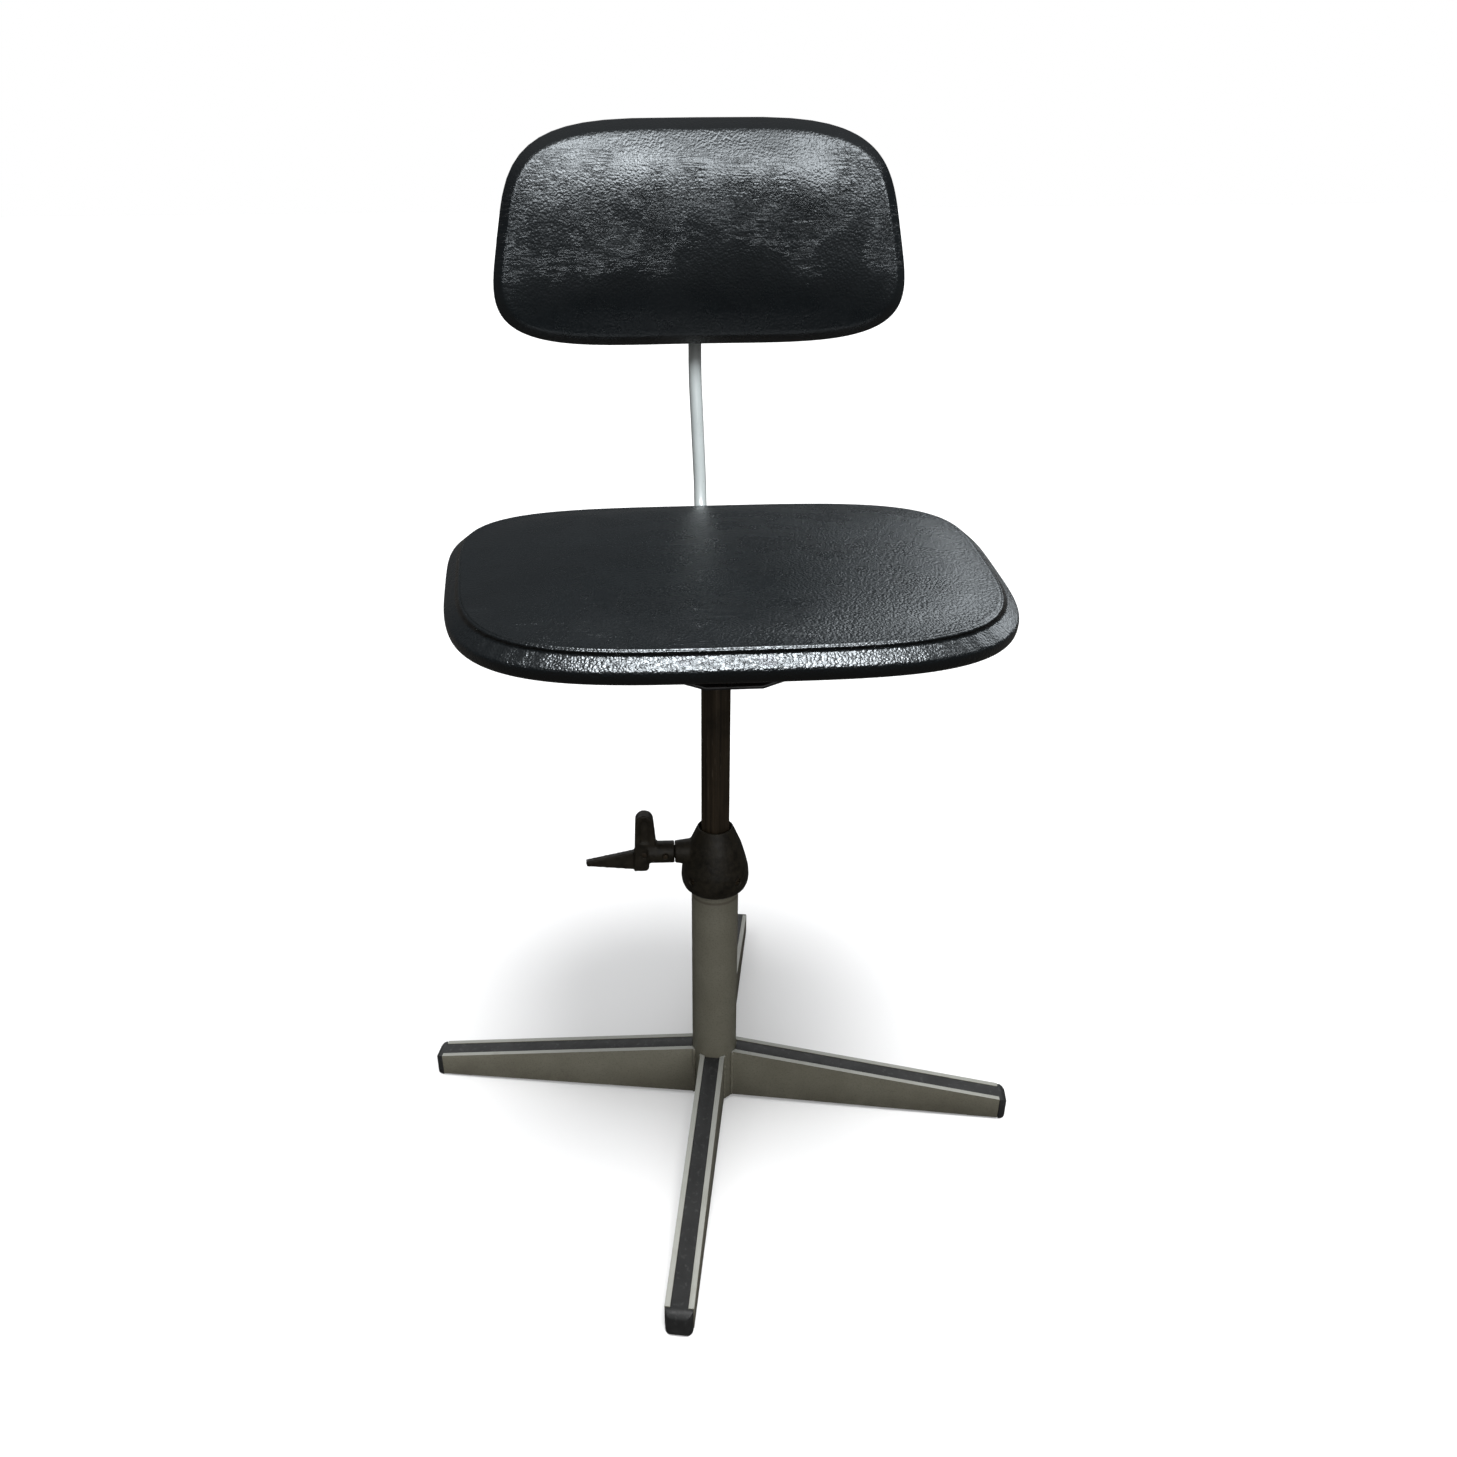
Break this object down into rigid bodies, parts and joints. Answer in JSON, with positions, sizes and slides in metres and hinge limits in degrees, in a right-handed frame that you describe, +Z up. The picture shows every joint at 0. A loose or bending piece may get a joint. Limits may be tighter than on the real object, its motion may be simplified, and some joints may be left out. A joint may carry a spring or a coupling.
{
  "type": "drafting chair",
  "caption": "Drafting chair on a fixed cross base: a lever-clamped hexagonal stem carries a swivelling padded seat, and a bent bar carries a small curved backrest.",
  "frame": {"origin": "on the floor, on the axis of the column", "axes": "+Z up along the column; the four legs lie along +X, -X, +Y and -Y; the seat faces -Y, turned 10.4 degrees anticlockwise from above"},
  "size_m": [0.567, 0.567, 0.8515],
  "materials": {
    "grey_paint": "satin",
    "light_paint": "gloss",
    "cast_paint": "matte",
    "black_paint": "satin",
    "stem_steel": "satin",
    "zinc_steel": "satin",
    "brass": "satin",
    "rubber": "matte",
    "black_plastic": "satin",
    "nylon": "satin",
    "plywood": "matte",
    "leatherette": "satin"
  },
  "bodies": {
    "base": {"column_tube": "grey_paint", "column_end_cap": "black_plastic", "leg_front": "grey_paint", "tread_strip_front": "rubber", "foot_pad_front": "rubber", "leg_right": "grey_paint", "tread_strip_right": "rubber", "foot_pad_right": "rubber", "leg_back": "grey_paint", "tread_strip_back": "rubber", "foot_pad_back": "rubber", "leg_left": "grey_paint", "tread_strip_left": "rubber", "foot_pad_left": "rubber", "height_collar": "cast_paint", "stem_guide_bush": "brass", "collar_grub_screw_left": "stem_steel", "collar_grub_screw_right": "stem_steel"},
    "pressure_pad": {"pressure_pad": "brass"},
    "clamp": {"clamp_spindle": "stem_steel", "clamp_handle": "cast_paint", "handle_pin": "stem_steel"},
    "stem": {"hex_stem": "stem_steel", "stem_stop_washer": "zinc_steel", "stem_stop_screw": "zinc_steel", "thrust_washer": "nylon", "spigot_circlip": "stem_steel"},
    "seat": {"swivel_hub": "black_paint", "hub_bush_lower": "nylon", "hub_bush_upper": "nylon", "seat_bracket": "black_paint", "bar_socket": "black_paint", "seat_board": "plywood", "seat_pad": "leatherette", "seat_screw_1": "zinc_steel", "seat_screw_2": "zinc_steel", "seat_screw_3": "zinc_steel", "seat_screw_4": "zinc_steel"},
    "depth_clamp": {"depth_knob": "black_plastic", "depth_screw": "zinc_steel"},
    "back_post": {"back_bar": "light_paint", "bar_top_plug": "black_plastic"},
    "back_carrier": {"pivot_block": "black_paint"},
    "height_clamp": {"height_knob": "black_plastic", "height_screw": "zinc_steel"},
    "backrest": {"back_bracket": "black_paint", "pivot_pin": "zinc_steel", "pin_clip": "stem_steel", "back_shell": "black_plastic", "back_pad": "leatherette", "back_screw_1": "zinc_steel", "back_screw_2": "zinc_steel", "back_screw_3": "zinc_steel", "back_screw_4": "zinc_steel"}
  },
  "joints": [
    {"name": "stem_lift", "type": "slide", "parent": "base", "child": "stem", "axis": [0, 0, 1], "range_m": [-0.095, 0.14]},
    {"name": "clamp_turn", "type": "hinge", "parent": "base", "child": "clamp", "pos_m": [0, 0, 0.277], "axis": [-0.989, -0.1478, 0], "range_deg": [0, 270]},
    {"name": "pad_press", "type": "slide", "parent": "base", "child": "pressure_pad", "axis": [-0.989, -0.1478, 0], "range_m": [0, 0.0012]},
    {"name": "seat_swivel", "type": "hinge", "parent": "stem", "child": "seat", "pos_m": [0, 0, 0.49], "axis": [0, 0, 1], "continuous": true},
    {"name": "depth_clamp_turn", "type": "hinge", "parent": "seat", "child": "depth_clamp", "pos_m": [-0.01737, 0.11678, 0.47], "axis": [0, 0, 1], "range_deg": [0, 180]},
    {"name": "back_depth", "type": "slide", "parent": "seat", "child": "back_post", "axis": [-0.1805, 0.9836, 0], "range_m": [-0.015, 0.03]},
    {"name": "back_height", "type": "slide", "parent": "back_post", "child": "back_carrier", "axis": [0, 0, 1], "range_m": [-0.045, 0.03]},
    {"name": "height_clamp_turn", "type": "hinge", "parent": "back_carrier", "child": "height_clamp", "pos_m": [-0.04693, 0.25573, 0.7647], "axis": [-0.1805, 0.9836, 0], "range_deg": [0, 180]},
    {"name": "back_tilt", "type": "hinge", "parent": "back_carrier", "child": "backrest", "pos_m": [-0.0417, 0.2272, 0.7647], "axis": [0.9836, 0.1805, 0], "range_deg": [-10, 10]}
  ],
  "couplings": [
    {"joint": "pad_press", "follows": "clamp_turn", "m_per_rad": 0.00023873}
  ]
}
